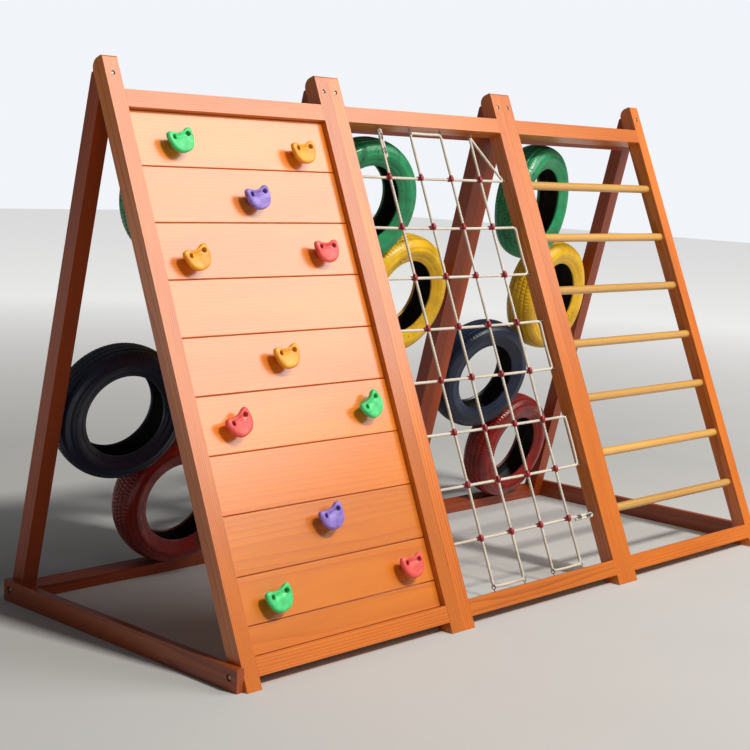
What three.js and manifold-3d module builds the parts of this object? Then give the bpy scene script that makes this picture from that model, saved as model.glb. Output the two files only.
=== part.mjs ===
// Playground climbing wall: three timber A-frame bays bolted side by side.
// Bay 1 is a board wall with bolt-on holds, bay 2 a laced rope net, bay 3 a rung ladder.
// Four old car tyres are bolted into the rear frame of every bay.
// Units are millimetres, +Z is up. The origin lies on the ground under the middle of the frame:
// +X runs along the wall from the board bay to the ladder bay, and +Y runs from front to back.

import * as THREE from "three";
import { mergeVertices } from "three/addons/utils/BufferGeometryUtils.js";
import Module from "manifold-3d";

const wasm = await Module();
wasm.setup();

// Driving dimensions
const BAYS = 3;
const BAY_PITCH = 995;
const SEAM = 0.6;
const TIMBER = 60;
const FIT = 0.3;
const FRONT_LEAN = THREE.MathUtils.degToRad(22.7);
const REAR_LEAN = THREE.MathUtils.degToRad(13.2);
const REAR_FOOT_Y = 1208;

const STILE_LENGTH = 2045;
const STILE_BACK_ROUND = 34;
const STILE_FRONT_ROUND = 8;
const BOTTOM_RAIL_S = 40;
const TOP_RAIL_S = 1872;

const BOARD_THICKNESS = 20;
const BOARD_RECESS = 22;
const BOARD_HEIGHT = 191;
const FULL_BOARDS = 8;
const SHORT_BOARD_HEIGHT = 152;
const BOARD_GROOVE = 2.5;
const BATTEN_WIDTH = 30;

const RUNGS = 7;
const RUNG_DIAMETER = 35;
const RUNG_PITCH = 227;
const LOWEST_RUNG_S = 297;
const RUNG_TENON = 25;
const RUNG_SIDES = 16;

const ROPE_DIAMETER = 10;
const ROPE_SIDES = 8;
const ROPES_UP = 4;
const ROPES_ACROSS = 8;
const ROPE_UP_DEPTH = 24;
const ROPE_ACROSS_DEPTH = 36;
const EYE_STAND_OFF = 18;
const ROPE_TURN = 12;

const REAR_RAIL_HEIGHT = 45;
const REAR_TOP_RAIL_S = 1735;
const LEG_TIP_BLUNT = 8;

const TYRE_RADIUS = 252;
const TYRE_BEAD_RADIUS = 152;
const TYRE_HALF_WIDTH = 72;
const TYRE_WALL = 9;
const TYRE_SEGMENTS = 22;

const SIDE_RAIL_THICKNESS = 28;
const SIDE_RAIL_HEIGHT = 75;
const SIDE_RAIL_FRONT_Y = 18;
const SIDE_RAIL_REAR_Y = 1262;

const HOLD_HALF_WIDTH = 54;
const HOLD_LOBE_UP = 37;
const HOLD_NOTCH_UP = 22;
const HOLD_JAW_DOWN = 46;
const HOLD_HEAD_THICKNESS = 20;
const HOLD_NECK_RADIUS = 24;
const HOLD_NECK_LENGTH = 26;
const HOLD_NECK_FLARE = 10;

const HEAD_BOLT_S = 1984;
const HEAD_POCKET_RADIUS = 8;
const HEAD_POCKET_DEPTH = 7;
const RAIL_BOLT_Z = 42;
const RAIL_BOLT_INSETS = [36, 1212];
const RAIL_POCKET_RADIUS = 12;
const RAIL_POCKET_DEPTH = 10;
const POCKET_SIDES = 16;

// Values worked out from the driving dimensions
const STILE_WIDTH = TIMBER - SEAM / 2;
const CLEAR_WIDTH = BAY_PITCH - 2 * TIMBER;
const BOTTOM_RAIL_TOP_S = BOTTOM_RAIL_S + TIMBER;
const CLEAR_HEIGHT = TOP_RAIL_S - BOTTOM_RAIL_TOP_S;
const TOTAL_WIDTH = BAYS * BAY_PITCH;

// Finishes
const finish = (color, roughness, metalness = 0) =>
  new THREE.MeshStandardMaterial({ color, roughness, metalness });
const stainedPine = finish(0xc9692f, 0.45);
const boardPine = finish(0xe08a4c, 0.42);
const palePine = finish(0xdba456, 0.5);
const tyrePaint = {
  green: finish(0x1e7a4a, 0.4),
  yellow: finish(0xe0ac1c, 0.4),
  navy: finish(0x141c30, 0.5),
  red: finish(0x7a1418, 0.45),
};
const holdPlastic = {
  green: finish(0x3fcf74, 0.5),
  orange: finish(0xf09a34, 0.5),
  purple: finish(0x6a58b4, 0.5),
  red: finish(0xe0485a, 0.5),
};
const rope = finish(0xd9cdb8, 0.9);

const part = new THREE.Group();
const wall = new THREE.Group();
part.add(wall);

// A frame group's own axes: x is depth from its front face, y is up the slope, z is along the wall.
function slopedFrame(lean, bay, footY) {
  const frame = new THREE.Group();
  const depthAxis = new THREE.Vector3(0, Math.cos(lean), -Math.sin(lean));
  const slopeAxis = new THREE.Vector3(0, Math.sin(lean), Math.cos(lean));
  const wallAxis = new THREE.Vector3(1, 0, 0);
  frame.quaternion.setFromRotationMatrix(
    new THREE.Matrix4().makeBasis(depthAxis, slopeAxis, wallAxis),
  );
  frame.position.set(bay * BAY_PITCH, footY, 0);
  wall.add(frame);
  return frame;
}

function place(frame, name, geometry, material, depth, slope, along) {
  const mesh = new THREE.Mesh(geometry, material);
  mesh.name = name;
  mesh.position.set(depth, slope, along);
  frame.add(mesh);
  return mesh;
}

// Booleans: a closed three.js geometry to a solid, and back
function toSolid(geometry) {
  const bare = geometry.clone();
  bare.deleteAttribute("normal");
  bare.deleteAttribute("uv");
  const merged = mergeVertices(bare, 1e-3);
  return new wasm.Manifold(
    new wasm.Mesh({
      numProp: 3,
      vertProperties: new Float32Array(merged.attributes.position.array),
      triVerts: new Uint32Array(merged.index.array),
    }),
  );
}

function toGeometry(solid) {
  const mesh = solid.getMesh();
  const geometry = new THREE.BufferGeometry();
  geometry.setAttribute("position", new THREE.BufferAttribute(mesh.vertProperties, 3));
  geometry.setIndex(new THREE.BufferAttribute(mesh.triVerts, 1));
  const flat = geometry.toNonIndexed();
  flat.computeVertexNormals();
  return flat;
}

const extrude = (shape, depth, curveSegments = 6) =>
  new THREE.ExtrudeGeometry(shape, { depth, curveSegments, bevelEnabled: false });

// Round pocket for a bolt head, sunk into a face across local x
function sinkPocket(solid, faceX, radius, depth, y, z) {
  const bit = new THREE.CylinderGeometry(radius, radius, 2 * depth, POCKET_SIDES);
  bit.rotateZ(Math.PI / 2);
  bit.translate(faceX, y, z);
  return solid.subtract(toSolid(bit));
}

// Front stile: square timber with its foot cut level and its head rounded over to the back
function stileGeometry() {
  const heelS = TIMBER * Math.tan(FRONT_LEAN);
  const profile = new THREE.Shape();
  profile.moveTo(0, 0);
  profile.lineTo(TIMBER, heelS);
  profile.lineTo(TIMBER, STILE_LENGTH - STILE_BACK_ROUND);
  profile.absarc(
    TIMBER - STILE_BACK_ROUND,
    STILE_LENGTH - STILE_BACK_ROUND,
    STILE_BACK_ROUND,
    0,
    Math.PI / 2,
  );
  profile.absarc(
    STILE_FRONT_ROUND,
    STILE_LENGTH - STILE_FRONT_ROUND,
    STILE_FRONT_ROUND,
    Math.PI / 2,
    Math.PI,
  );
  profile.closePath();
  const blank = toSolid(extrude(profile, STILE_WIDTH));
  const [radius, depth] = [HEAD_POCKET_RADIUS, HEAD_POCKET_DEPTH];
  return toGeometry(sinkPocket(blank, 0, radius, depth, HEAD_BOLT_S, STILE_WIDTH / 2));
}

// Blind mortises for the rung tenons, bored into the stile face at height `faceZ`
function boreMortises(stile, faceZ) {
  const radius = RUNG_DIAMETER / 2 + FIT;
  const depth = RUNG_TENON + FIT;
  let solid = toSolid(stile);
  for (const slope of rungSlopes()) {
    const bit = new THREE.CylinderGeometry(radius, radius, 2 * depth, RUNG_SIDES);
    bit.rotateX(Math.PI / 2);
    bit.translate(TIMBER / 2, slope, faceZ);
    solid = solid.subtract(toSolid(bit));
  }
  return toGeometry(solid);
}

function rungSlopes() {
  return Array.from({ length: RUNGS }, (_, i) => LOWEST_RUNG_S + i * RUNG_PITCH);
}

// Front frame of one bay: two stiles joined by a top and a bottom rail
function addFrontFrame(bay) {
  const frame = slopedFrame(FRONT_LEAN, bay, 0);
  const ladder = bay === BAYS - 1;
  const left = ladder ? boreMortises(stileGeometry(), STILE_WIDTH) : stileGeometry();
  const right = ladder ? boreMortises(stileGeometry(), 0) : stileGeometry();
  const rail = new THREE.BoxGeometry(TIMBER, TIMBER, CLEAR_WIDTH - 2 * FIT);
  const middle = BAY_PITCH / 2;
  const n = bay + 1;
  place(frame, `front_stile_${n}_left`, left, stainedPine, 0, 0, SEAM / 2);
  place(frame, `front_stile_${n}_right`, right, stainedPine, 0, 0, BAY_PITCH - TIMBER);
  place(frame, `front_top_rail_${n}`, rail, stainedPine, TIMBER / 2, TOP_RAIL_S + TIMBER / 2, middle);
  const bottomS = BOTTOM_RAIL_S + TIMBER / 2;
  place(frame, `front_bottom_rail_${n}`, rail.clone(), stainedPine, TIMBER / 2, bottomS, middle);
  return frame;
}

// Board wall: matched boards in one panel, screwed to a batten down each side
function addBoardWall(frame) {
  const jointSlopes = [];
  let joint = TOP_RAIL_S;
  for (let i = 0; i < FULL_BOARDS; i += 1) {
    joint -= BOARD_HEIGHT;
    jointSlopes.push(joint);
  }
  jointSlopes.push(joint - SHORT_BOARD_HEIGHT);

  const profile = new THREE.Shape();
  profile.moveTo(0, TOP_RAIL_S - FIT);
  for (const slope of jointSlopes) {
    profile.lineTo(0, slope + BOARD_GROOVE);
    profile.lineTo(BOARD_GROOVE, slope);
    profile.lineTo(0, slope - BOARD_GROOVE);
  }
  profile.lineTo(0, BOTTOM_RAIL_TOP_S + FIT);
  profile.lineTo(BOARD_THICKNESS, BOTTOM_RAIL_TOP_S + FIT);
  profile.lineTo(BOARD_THICKNESS, TOP_RAIL_S - FIT);
  profile.closePath();
  const panel = extrude(profile, CLEAR_WIDTH - 2 * FIT);
  place(frame, "board_panel", panel, boardPine, BOARD_RECESS, 0, TIMBER + FIT);

  const battenDepth = BOARD_RECESS + BOARD_THICKNESS + FIT;
  const battenThickness = TIMBER - battenDepth;
  const length = CLEAR_HEIGHT - 2 * FIT;
  const middleS = (TOP_RAIL_S + BOTTOM_RAIL_TOP_S) / 2;
  const batten = new THREE.BoxGeometry(battenThickness, length, BATTEN_WIDTH);
  const depth = battenDepth + battenThickness / 2;
  const leftZ = TIMBER + FIT + BATTEN_WIDTH / 2;
  place(frame, "board_batten_left", batten, stainedPine, depth, middleS, leftZ);
  place(frame, "board_batten_right", batten.clone(), stainedPine, depth, middleS, BAY_PITCH - leftZ);
}

// Climbing hold: a thick bowl-shaped head with two lobes at the top, on a round neck
function holdGeometry() {
  const head = new THREE.Shape();
  head.moveTo(0, HOLD_NOTCH_UP);
  head.quadraticCurveTo(-26, HOLD_NOTCH_UP, -40, HOLD_LOBE_UP);
  head.quadraticCurveTo(-HOLD_HALF_WIDTH, HOLD_LOBE_UP + 2, -HOLD_HALF_WIDTH, 14);
  head.quadraticCurveTo(-50, -HOLD_JAW_DOWN, 0, -HOLD_JAW_DOWN);
  head.quadraticCurveTo(50, -HOLD_JAW_DOWN, HOLD_HALF_WIDTH, 14);
  head.quadraticCurveTo(HOLD_HALF_WIDTH, HOLD_LOBE_UP + 2, 40, HOLD_LOBE_UP);
  head.quadraticCurveTo(26, HOLD_NOTCH_UP, 0, HOLD_NOTCH_UP);
  const plate = extrude(head, HOLD_HEAD_THICKNESS, 4);
  const neck = new THREE.CylinderGeometry(
    HOLD_NECK_RADIUS + HOLD_NECK_FLARE,
    HOLD_NECK_RADIUS,
    HOLD_NECK_LENGTH + 1,
    10,
  );
  neck.rotateX(-Math.PI / 2);
  neck.translate(0, 0, HOLD_HEAD_THICKNESS + HOLD_NECK_LENGTH / 2 - 0.5);
  const solid = toSolid(plate).add(toSolid(neck));
  const geometry = toGeometry(solid);
  geometry.rotateY(Math.PI / 2);
  return geometry;
}

// Holds: colour, distance along the bay, height up the slope, and degrees turned on the board
const HOLDS = [
  ["green", 235, 1762, 13],
  ["orange", 778, 1742, 7],
  ["purple", 512, 1570, 11],
  ["orange", 190, 1362, 18],
  ["red", 773, 1380, 3],
  ["orange", 472, 1018, 8],
  ["red", 204, 814, 24],
  ["green", 806, 822, 34],
  ["purple", 500, 473, 17],
  ["green", 200, 254, 12],
  ["red", 812, 260, 5],
];

function addHolds(frame) {
  const depth = BOARD_RECESS - HOLD_NECK_LENGTH - HOLD_HEAD_THICKNESS - FIT;
  HOLDS.forEach(([colour, along, slope, turn], i) => {
    const name = `hold_${String(i + 1).padStart(2, "0")}_${colour}`;
    const hold = place(frame, name, holdGeometry(), holdPlastic[colour], depth, slope, along);
    hold.rotation.x = -THREE.MathUtils.degToRad(turn);
  });
}

// A route through given stations, with the section turned to the mitre at each one
class LacedRoute extends THREE.Curve {
  constructor(stations) {
    super();
    this.stations = stations;
  }

  getPoint(t, target = new THREE.Vector3()) {
    const last = this.stations.length - 1;
    const at = Math.min(Math.max(t, 0), 1) * last;
    const i = Math.min(Math.floor(at), last - 1);
    return target.lerpVectors(this.stations[i], this.stations[i + 1], at - i);
  }

  getPointAt(u, target) {
    return this.getPoint(u, target);
  }

  getTangentAt(u, target = new THREE.Vector3()) {
    const last = this.stations.length - 1;
    const i = Math.round(u * last);
    const before = this.stations[Math.max(i - 1, 0)];
    const here = this.stations[i];
    const after = this.stations[Math.min(i + 1, last)];
    const arriving = new THREE.Vector3().subVectors(here, before).normalize();
    const leaving = new THREE.Vector3().subVectors(after, here).normalize();
    return target.addVectors(arriving, leaving).normalize();
  }
}

// Corners of the lacing in the front frame's own axes: four runs up and down, then eight across
function lacingCorners() {
  const column = CLEAR_WIDTH / (ROPES_UP + 1);
  const row = CLEAR_HEIGHT / (ROPES_ACROSS + 1);
  const topS = TOP_RAIL_S - EYE_STAND_OFF;
  const bottomS = BOTTOM_RAIL_TOP_S + EYE_STAND_OFF;
  const leftZ = TIMBER + EYE_STAND_OFF;
  const rightZ = BAY_PITCH - TIMBER - EYE_STAND_OFF;
  const corners = [];
  for (let i = 0; i < ROPES_UP; i += 1) {
    const along = TIMBER + column * (i + 1);
    const downward = i % 2 === 0;
    corners.push(new THREE.Vector3(ROPE_UP_DEPTH, downward ? topS : bottomS, along));
    corners.push(new THREE.Vector3(ROPE_UP_DEPTH, downward ? bottomS : topS, along));
  }
  for (let i = 0; i < ROPES_ACROSS; i += 1) {
    const slope = TOP_RAIL_S - row * (i + 1);
    const leftward = i % 2 === 0;
    corners.push(new THREE.Vector3(ROPE_ACROSS_DEPTH, slope, leftward ? rightZ : leftZ));
    corners.push(new THREE.Vector3(ROPE_ACROSS_DEPTH, slope, leftward ? leftZ : rightZ));
  }
  return corners;
}

// Each corner is cut to two stations, so that the rope turns through an eye in two easy bends
function lacingStations(corners) {
  const stations = [corners[0]];
  for (let i = 1; i < corners.length - 1; i += 1) {
    const back = new THREE.Vector3().subVectors(corners[i - 1], corners[i]).setLength(ROPE_TURN);
    const onward = new THREE.Vector3().subVectors(corners[i + 1], corners[i]).setLength(ROPE_TURN);
    stations.push(back.add(corners[i]));
    stations.push(onward.add(corners[i]));
  }
  stations.push(corners[corners.length - 1]);
  return stations;
}

function addNet(frame) {
  const section = new THREE.Shape();
  section.absarc(0, 0, ROPE_DIAMETER / 2, 0, Math.PI * 2);
  const stations = lacingStations(lacingCorners());
  const geometry = new THREE.ExtrudeGeometry(section, {
    steps: stations.length - 1,
    curveSegments: ROPE_SIDES / 2,
    extrudePath: new LacedRoute(stations),
    bevelEnabled: false,
  });
  place(frame, "net_rope", geometry, rope, 0, 0, 0);
}

// Ladder: round rungs let into both stiles
function addRungs(frame) {
  const length = CLEAR_WIDTH + 2 * RUNG_TENON;
  const radius = RUNG_DIAMETER / 2;
  rungSlopes().forEach((slope, i) => {
    const geometry = new THREE.CylinderGeometry(radius, radius, length, RUNG_SIDES);
    geometry.rotateX(Math.PI / 2);
    place(frame, `rung_${i + 1}`, geometry, palePine, TIMBER / 2, slope, BAY_PITCH / 2);
  });
}

// Rear leg: foot cut level, head cut to lie flat on the back of the front stile
function rearLegGeometry() {
  const heelS = -TIMBER * Math.tan(REAR_LEAN);
  const seatDepth = TIMBER / Math.cos(FRONT_LEAN) + FIT;
  const slopes = Math.tan(FRONT_LEAN) + Math.tan(REAR_LEAN);
  const frontTopZ = (REAR_FOOT_Y - seatDepth) / slopes;
  const rearFootY = REAR_FOOT_Y + TIMBER / Math.cos(REAR_LEAN);
  const rearTopZ = (rearFootY - seatDepth) / slopes;
  const frontTopS = frontTopZ / Math.cos(REAR_LEAN);
  const rearTopS = (rearTopZ - TIMBER * Math.sin(REAR_LEAN)) / Math.cos(REAR_LEAN);
  const bevel = (rearTopS - frontTopS) / TIMBER;
  const profile = new THREE.Shape();
  profile.moveTo(0, 0);
  profile.lineTo(TIMBER, heelS);
  profile.lineTo(TIMBER, rearTopS - 3 * LEG_TIP_BLUNT);
  profile.quadraticCurveTo(
    TIMBER,
    rearTopS - LEG_TIP_BLUNT * bevel,
    TIMBER - LEG_TIP_BLUNT,
    rearTopS - LEG_TIP_BLUNT * bevel,
  );
  profile.lineTo(0, frontTopS);
  profile.closePath();
  return extrude(profile, STILE_WIDTH);
}

// Tyre: a hollow ring, open towards the hub, with bead, bulging wall, shoulder and tread
function tyreGeometry() {
  const w = TYRE_HALF_WIDTH;
  const outside = [
    [TYRE_BEAD_RADIUS, w * 0.76],
    [TYRE_BEAD_RADIUS + 42, w],
    [TYRE_RADIUS - 18, w * 0.9],
    [TYRE_RADIUS, w * 0.6],
  ];
  const inside = [
    [TYRE_BEAD_RADIUS, w * 0.76 - TYRE_WALL],
    [TYRE_BEAD_RADIUS + 42, w - TYRE_WALL],
    [TYRE_RADIUS - TYRE_WALL - 5, w * 0.62],
  ];
  const point = ([radius, axial]) => new THREE.Vector2(radius, axial);
  const mirror = ([radius, axial]) => new THREE.Vector2(radius, -axial);
  const profile = [
    ...outside.map(mirror),
    ...outside.toReversed().map(point),
    ...inside.map(point),
    ...inside.toReversed().map(mirror),
    mirror(outside[0]),
  ];
  const geometry = new THREE.LatheGeometry(profile, TYRE_SEGMENTS);
  geometry.rotateZ(Math.PI / 2);
  return geometry;
}

// Tyres of each bay from the top down: colour, height up the slope, distance along the bay,
// and the degrees that it's turned about the slope and tipped over it. They were bolted in by
// hand, so no two bays are quite alike, and each tyre touches its neighbours, a leg or a rail.
const TYRES = [
  [
    ["green", 1482, 444, 0, 0],
    ["yellow", 1036, 681, 0, 0],
    ["navy", 682, 320, 9, 0],
    ["red", 298.5, 655, 8, -4],
  ],
  [
    ["green", 1468, 318, 7, 0],
    ["yellow", 1082, 648, 0, 0],
    ["navy", 692, 314, 0, 0],
    ["red", 298.5, 632, 0, 0],
  ],
  [
    ["green", 1476, 406, -12, -7],
    ["yellow", 1044, 677, -6, -6],
    ["navy", 682, 319, 8, 2],
    ["red", 299, 653, -3, 0],
  ],
];

// Rear frame of one bay: two legs, two rails and the four tyres between them
function addRearFrame(bay) {
  const frame = slopedFrame(-REAR_LEAN, bay, REAR_FOOT_Y);
  const leg = rearLegGeometry();
  const rail = new THREE.BoxGeometry(TIMBER, REAR_RAIL_HEIGHT, CLEAR_WIDTH - 2 * FIT);
  const middle = BAY_PITCH / 2;
  const halfRail = REAR_RAIL_HEIGHT / 2;
  const bottomS = halfRail + FIT;
  const topS = REAR_TOP_RAIL_S + halfRail;
  const n = bay + 1;
  place(frame, `rear_leg_${n}_left`, leg, stainedPine, 0, 0, SEAM / 2);
  place(frame, `rear_leg_${n}_right`, leg.clone(), stainedPine, 0, 0, BAY_PITCH - TIMBER);
  place(frame, `rear_bottom_rail_${n}`, rail, stainedPine, TIMBER / 2, bottomS, middle);
  place(frame, `rear_top_rail_${n}`, rail.clone(), stainedPine, TIMBER / 2, topS, middle);
  for (const [colour, slope, along, turn, tip] of TYRES[bay]) {
    const name = `tyre_${n}_${colour}`;
    const tyre = place(frame, name, tyreGeometry(), tyrePaint[colour], TIMBER / 2, slope, along);
    tyre.rotation.order = "ZYX";
    tyre.rotation.y = -THREE.MathUtils.degToRad(turn);
    tyre.rotation.z = THREE.MathUtils.degToRad(tip);
  }
}

// Side rails: flat boards on edge that tie each end's front foot to its rear foot
function addSideRail(name, x) {
  const length = SIDE_RAIL_REAR_Y - SIDE_RAIL_FRONT_Y;
  const blank = new THREE.BoxGeometry(SIDE_RAIL_THICKNESS, length, SIDE_RAIL_HEIGHT);
  const outerFace = Math.sign(x) * (SIDE_RAIL_THICKNESS / 2);
  let solid = toSolid(blank);
  for (const inset of RAIL_BOLT_INSETS) {
    const y = inset - length / 2;
    const z = RAIL_BOLT_Z - SIDE_RAIL_HEIGHT / 2;
    solid = sinkPocket(solid, outerFace, RAIL_POCKET_RADIUS, RAIL_POCKET_DEPTH, y, z);
  }
  const mesh = new THREE.Mesh(toGeometry(solid), stainedPine);
  mesh.name = name;
  mesh.position.set(x, SIDE_RAIL_FRONT_Y + length / 2, SIDE_RAIL_HEIGHT / 2);
  wall.add(mesh);
}

const bays = Array.from({ length: BAYS }, (_, i) => i);
const [boardBay, netBay, ladderBay] = bays.map(addFrontFrame);
addBoardWall(boardBay);
addHolds(boardBay);
addNet(netBay);
addRungs(ladderBay);
bays.forEach(addRearFrame);
addSideRail("side_rail_left", -SIDE_RAIL_THICKNESS / 2);
addSideRail("side_rail_right", TOTAL_WIDTH + SIDE_RAIL_THICKNESS / 2);

// The origin is the middle of the footprint, on the ground
const footprint = new THREE.Box3().setFromObject(wall, true).getCenter(new THREE.Vector3());
wall.position.set(-footprint.x, -footprint.y, 0);

export default part;
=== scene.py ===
import math
import random

import bmesh
import bpy
from mathutils import Matrix, Vector


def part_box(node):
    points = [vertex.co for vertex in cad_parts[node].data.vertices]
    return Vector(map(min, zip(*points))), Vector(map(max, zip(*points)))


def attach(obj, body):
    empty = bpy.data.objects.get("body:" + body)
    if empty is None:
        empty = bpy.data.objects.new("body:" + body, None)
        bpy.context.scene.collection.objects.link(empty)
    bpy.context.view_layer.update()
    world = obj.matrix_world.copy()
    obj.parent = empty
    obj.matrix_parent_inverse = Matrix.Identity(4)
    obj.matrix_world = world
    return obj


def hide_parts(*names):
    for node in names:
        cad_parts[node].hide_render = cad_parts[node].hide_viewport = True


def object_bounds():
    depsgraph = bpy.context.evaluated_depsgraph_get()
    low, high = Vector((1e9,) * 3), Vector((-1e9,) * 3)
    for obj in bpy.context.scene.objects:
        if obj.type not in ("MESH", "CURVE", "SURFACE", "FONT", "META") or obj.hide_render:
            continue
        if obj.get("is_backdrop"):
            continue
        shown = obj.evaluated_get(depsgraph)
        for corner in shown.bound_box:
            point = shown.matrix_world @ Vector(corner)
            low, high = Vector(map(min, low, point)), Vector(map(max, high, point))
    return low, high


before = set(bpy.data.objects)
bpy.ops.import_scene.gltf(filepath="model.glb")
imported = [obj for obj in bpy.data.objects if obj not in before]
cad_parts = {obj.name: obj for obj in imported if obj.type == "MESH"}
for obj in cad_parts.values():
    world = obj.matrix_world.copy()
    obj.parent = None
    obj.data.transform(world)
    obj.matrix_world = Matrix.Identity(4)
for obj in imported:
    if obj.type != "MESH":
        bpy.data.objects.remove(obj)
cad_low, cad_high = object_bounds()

# Camera: a grown-up's eye height above the ground, out in front of the board end, looking
# across all three bays with the horizon a little off level.
EYE = (-4.440, -3.892, 1.585)
TURNED_RIGHT = math.radians(46.62)
TIPPED_DOWN = math.radians(7.92)
ROLLED = math.radians(2.58)
lens = bpy.data.cameras.new("camera")
lens.sensor_width = 36
lens.lens = 73.26
camera = bpy.data.objects.new("camera", lens)
bpy.context.scene.collection.objects.link(camera)
camera.matrix_world = (
    Matrix.Translation(EYE)
    @ Matrix.Rotation(-TURNED_RIGHT, 4, "Z")
    @ Matrix.Rotation(math.pi / 2 - TIPPED_DOWN, 4, "X")
    @ Matrix.Rotation(ROLLED, 4, "Z")
)
bpy.context.scene.camera = camera

# Front frames: 60 mm square pine, planed, stained orange-brown and varnished. Each bay has two
# stiles that lean back and a rail across the top and bottom. The sharp edges are eased by hand,
# and along them the stain is paler: partly worn thin, and partly a painted highlight.
LEAN = math.radians(22.7)
TIMBER = 0.060
BAY = 0.995
FIT = 0.0003
EASED = 0.0028
SHARP = math.radians(35)
WALL_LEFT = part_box("front_stile_1_left")[0].x - FIT
WALL_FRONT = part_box("front_stile_1_left")[0].y
UP_FRONT = Vector((0, math.sin(LEAN), math.cos(LEAN)))
INTO_FRONT = Vector((0, math.cos(LEAN), -math.sin(LEAN)))
ALONG = Vector((1, 0, 0))


def on_front(bay, along, up, depth):
    """A point of a front frame: metres along its bay, up its slope and in from its front face."""
    start = Vector((WALL_LEFT + bay * BAY, WALL_FRONT, 0))
    return start + ALONG * along + UP_FRONT * up + INTO_FRONT * depth


def shader(tree, kind, inputs=None, **settings):
    """Adds a shader node; inputs holds plain values or the sockets that feed them."""
    made = tree.nodes.new("ShaderNode" + kind)
    for key, value in settings.items():
        setattr(made, key, value)
    for key, value in (inputs or {}).items():
        if isinstance(value, bpy.types.NodeSocket):
            tree.links.new(value, made.inputs[key])
        else:
            made.inputs[key].default_value = value
    return made


def effect_group(name, takes, gives):
    """An empty shader group with named inputs (name, kind, value) and outputs (name, kind)."""
    group = bpy.data.node_groups.new(name, "ShaderNodeTree")
    for label, kind, value in takes:
        socket = group.interface.new_socket(label, in_out="INPUT", socket_type="NodeSocket" + kind)
        if value is not None:
            socket.default_value = value
    for label, kind in gives:
        group.interface.new_socket(label, in_out="OUTPUT", socket_type="NodeSocket" + kind)
    return group, group.nodes.new("NodeGroupInput"), group.nodes.new("NodeGroupOutput")


def maths(tree, operation, first, second=0.0, clamp=False):
    """One sum on numbers or sockets."""
    node = shader(tree, "Math", {0: first, 1: second}, operation=operation, use_clamp=clamp)
    return node.outputs[0]


def blend(tree, share, first, second):
    """Mixes two colours."""
    inputs = {"Factor": share, "A": first, "B": second}
    node = tree.nodes.new("ShaderNodeMix")
    node.data_type = "RGBA"
    for label, value in inputs.items():
        socket = [s for s in node.inputs if s.name == label and s.enabled][0]
        if isinstance(value, bpy.types.NodeSocket):
            tree.links.new(value, socket)
        else:
            socket.default_value = value
    return [s for s in node.outputs if s.enabled][0]


def spread(tree, value, low, high, to_low=0.0, to_high=1.0):
    """Stretches a value from one range to another, and stops at its ends."""
    inputs = {
        "Value": value,
        "From Min": low,
        "From Max": high,
        "To Min": to_low,
        "To Max": to_high,
    }
    return shader(tree, "MapRange", inputs, clamp=True).outputs[0]


# The grain of sawn pine, for any timber: yearly rings round a pith outside the plank, fine
# fibres along it, and slow patches where the stain took more or less.
pine_grain, given, result = effect_group(
    "pine_grain",
    [("Vector", "Vector", None), ("Ring Gap", "Float", 0.008), ("Piece", "Float", 0.0)],
    [("Rings", "Float"), ("Fibres", "Float"), ("Patches", "Float")],
)
shift_x = maths(pine_grain, "MULTIPLY", given.outputs["Piece"], 0.23)
shift_y = maths(pine_grain, "ADD", maths(pine_grain, "MULTIPLY", given.outputs["Piece"], 0.11), 0.09)
shift_z = maths(pine_grain, "MULTIPLY", given.outputs["Piece"], 7.3)
pith = shader(pine_grain, "CombineXYZ", {"X": shift_x, "Y": shift_y, "Z": shift_z})
moved = shader(
    pine_grain, "VectorMath", {0: given.outputs["Vector"], 1: pith.outputs[0]}, operation="ADD"
)
drawn_out = shader(pine_grain, "Mapping", {"Vector": moved.outputs[0], "Scale": (1, 1, 0.045)})
wander = shader(
    pine_grain, "TexNoise", {"Vector": drawn_out.outputs[0], "Scale": 14.0, "Detail": 2.0}
)
waver = shader(
    pine_grain,
    "VectorMath",
    {0: wander.outputs["Color"], 1: (0.028, 0.028, 0)},
    operation="MULTIPLY",
)
bent = shader(
    pine_grain, "VectorMath", {0: drawn_out.outputs[0], 1: waver.outputs[0]}, operation="ADD"
)
flat = shader(pine_grain, "VectorMath", {0: bent.outputs[0], 1: (1, 1, 0)}, operation="MULTIPLY")
reach = shader(pine_grain, "VectorMath", {0: flat.outputs[0]}, operation="LENGTH")
turn = maths(pine_grain, "DIVIDE", reach.outputs["Value"], given.outputs["Ring Gap"])
year = maths(pine_grain, "FRACT", turn)
late = maths(pine_grain, "POWER", year, 3.0)
pine_grain.links.new(late, result.inputs["Rings"])
hair = shader(pine_grain, "Mapping", {"Vector": moved.outputs[0], "Scale": (700, 700, 9)})
fibre = shader(pine_grain, "TexNoise", {"Vector": hair.outputs[0], "Scale": 1.0, "Detail": 3.0})
pine_grain.links.new(spread(pine_grain, fibre.outputs[0], 0.32, 0.68), result.inputs["Fibres"])
cloud = shader(pine_grain, "Mapping", {"Vector": moved.outputs[0], "Scale": (9, 9, 1.6)})
patch = shader(pine_grain, "TexNoise", {"Vector": cloud.outputs[0], "Scale": 1.0, "Detail": 3.0})
pine_grain.links.new(spread(pine_grain, patch.outputs[0], 0.3, 0.7), result.inputs["Patches"])


def principled(tree, plain_sockets):
    """The material's own Principled shader, with its plain sockets set, joined to the output."""
    surface = shader(tree, "BsdfPrincipled", plain_sockets)
    out = tree.nodes.new("ShaderNodeOutputMaterial")
    tree.links.new(surface.outputs[0], out.inputs["Surface"])
    return surface


def new_material(name):
    """An empty node material."""
    made = bpy.data.materials.new(name)
    made.use_nodes = True
    made.node_tree.nodes.clear()
    return made, made.node_tree


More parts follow.
